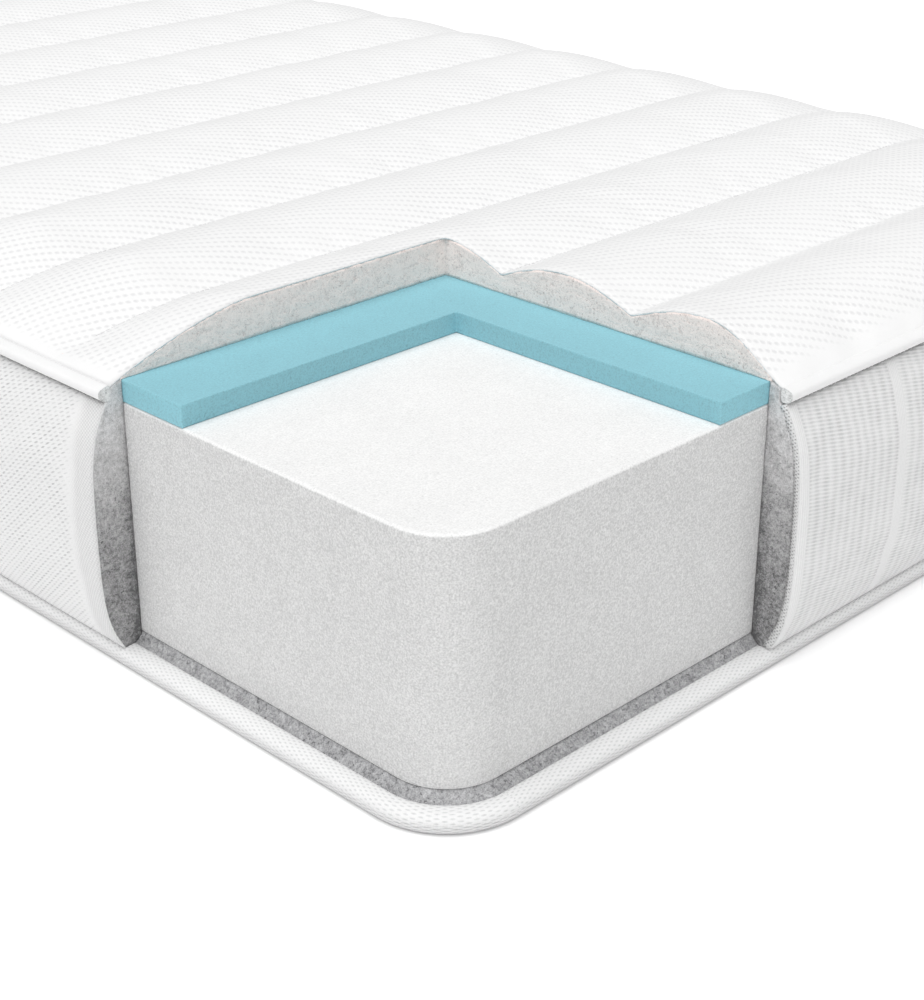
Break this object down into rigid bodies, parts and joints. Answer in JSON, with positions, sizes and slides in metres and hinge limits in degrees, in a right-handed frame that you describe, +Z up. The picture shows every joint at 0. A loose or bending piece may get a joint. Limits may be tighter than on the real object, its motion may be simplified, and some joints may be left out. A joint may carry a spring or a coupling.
{
  "type": "memory foam mattress",
  "caption": "Single foam mattress with a channel-quilted white knit cover, one corner cut away to show memory foam, foam core and grey felt padding.",
  "frame": {"origin": "under the middle of the base panel, on the surface that the mattress rests on", "axes": "+Y along the length, +X across the width, +Z up; the display cut is at the -X, -Y corner"},
  "size_m": [0.9, 2, 0.223],
  "materials": {
    "base_foam": "matte open-cell polyurethane foam, white",
    "memory_foam": "matte open-cell memory foam, pale blue-green",
    "border_felt": "matte needled felt, mottled grey",
    "quilt_felt": "matte needled felt, light grey with darker fibres",
    "top_knit": "soft white jacquard knit with small dots",
    "long_side_knit": "white openwork knit, staggered eyelets",
    "end_knit": "white openwork knit, upright columns of slots",
    "base_knit": "white knit with small stitches",
    "edge_cloth": "smooth white cloth",
    "seam_thread": "grey sewing thread, sunk in its seam",
    "white_thread": "white sewing thread"
  },
  "bodies": {
    "root": {"base_foam_core": "base_foam", "memory_foam_layer": "memory_foam", "bottom_ticking": "base_knit", "bottom_wadding": "border_felt", "top_wadding": "quilt_felt", "top_ticking": "top_knit", "top_edge_roll": "edge_cloth", "top_seam_thread": "seam_thread", "bottom_seam_thread": "white_thread", "border_join_front_right": "white_thread", "border_join_back_right": "white_thread", "border_join_back_left": "white_thread", "border_wadding_right": "border_felt", "border_wadding_left": "border_felt", "border_wadding_front": "border_felt", "border_wadding_back": "border_felt", "border_ticking_right": "long_side_knit", "border_ticking_left": "long_side_knit", "border_ticking_front": "end_knit", "border_ticking_back": "end_knit", "quilt_thread_01": "white_thread", "quilt_thread_02": "white_thread", "quilt_thread_03": "white_thread", "quilt_thread_04": "white_thread", "quilt_thread_05": "white_thread", "quilt_thread_06": "white_thread", "quilt_thread_07": "white_thread", "quilt_thread_08": "white_thread", "quilt_thread_09": "white_thread", "quilt_thread_10": "white_thread", "quilt_thread_11": "white_thread", "quilt_thread_12": "white_thread", "quilt_thread_13": "white_thread", "quilt_thread_14": "white_thread", "quilt_thread_15": "white_thread", "quilt_thread_16": "white_thread"}
  },
  "joints": []
}
